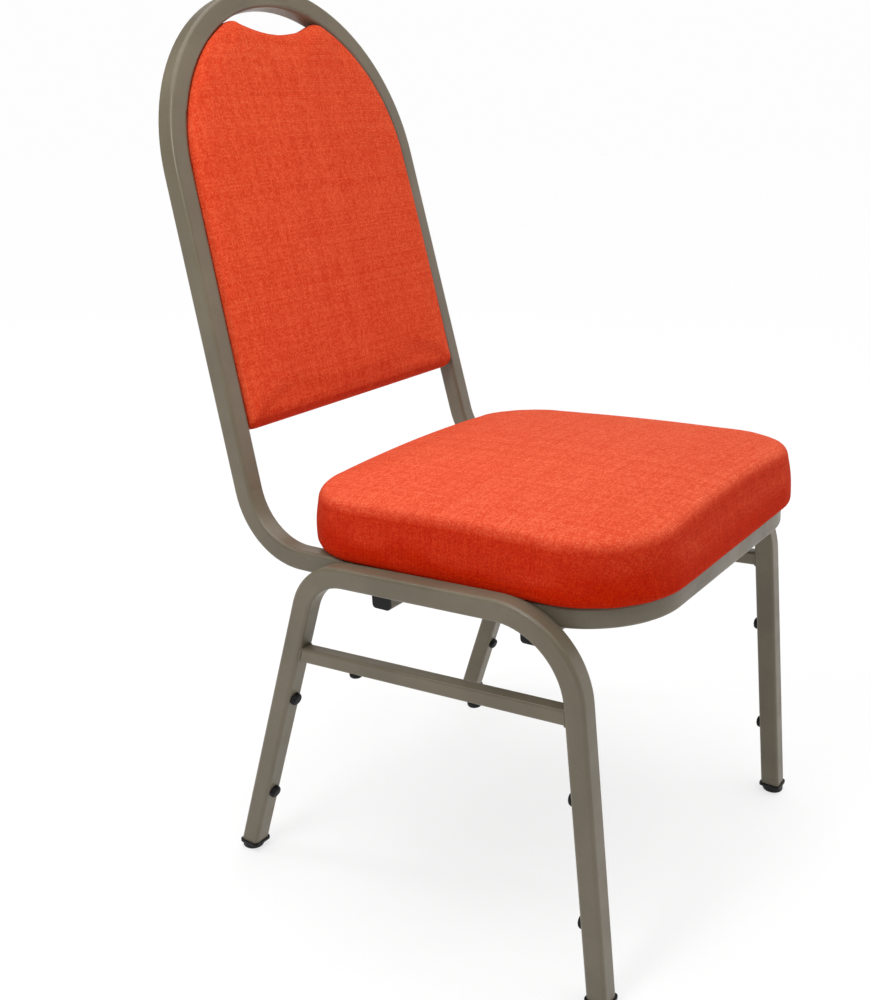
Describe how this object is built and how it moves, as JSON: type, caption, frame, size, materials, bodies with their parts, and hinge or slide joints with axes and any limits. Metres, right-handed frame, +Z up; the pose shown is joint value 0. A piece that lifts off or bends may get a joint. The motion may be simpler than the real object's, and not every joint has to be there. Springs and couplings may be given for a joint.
{
  "type": "stacking chair",
  "caption": "Armless stacking chair with a welded square-tube steel frame, round-topped padded back with a handle gap, padded seat, side stretchers, bumpers and floor glides.",
  "frame": {"origin": "bottom centre of the whole chair: the middle of its bounding box at floor level", "axes": "+Z up, front of the chair towards -Y, +X towards the sitting person's left; the chair is mirror-symmetric about the plane x = 0"},
  "size_m": [0.4736, 0.5982, 0.9258],
  "materials": {
    "frame_paint": "satin taupe-grey powder coat",
    "seat_fabric": "orange-red tweed upholstery weave",
    "black_plastic": "moulded, lightly textured",
    "black_rubber": "matte",
    "plywood": "raw birch plywood",
    "dust_cloth": "black non-woven cloth",
    "screw_steel": "zinc plated"
  },
  "bodies": {
    "root": {"leg_frame_right": "frame_paint", "leg_frame_left": "frame_paint", "side_stretcher_right": "frame_paint", "side_stretcher_left": "frame_paint", "seat_rail": "frame_paint", "back_hoop": "frame_paint", "cross_tube_front": "frame_paint", "cross_tube_rear": "frame_paint", "seat_fixing_tabs": "frame_paint", "back_fixing_tabs": "frame_paint", "seat_cushion": "seat_fabric", "back_cushion": "seat_fabric", "rear_cover": "seat_fabric", "glide_front_right": "black_plastic", "glide_front_left": "black_plastic", "glide_rear_right": "black_plastic", "glide_rear_left": "black_plastic", "cross_tube_end_plugs": "black_plastic", "front_leg_bumpers_right": "black_rubber", "front_leg_bumpers_left": "black_rubber", "rear_leg_bumpers_right": "black_rubber", "rear_leg_bumpers_left": "black_rubber", "stretcher_bumpers_right": "black_rubber", "stretcher_bumpers_left": "black_rubber", "seat_board": "plywood", "back_board": "plywood", "seat_dust_cover": "dust_cloth", "seat_screws": "screw_steel", "back_screws": "screw_steel"}
  },
  "joints": []
}
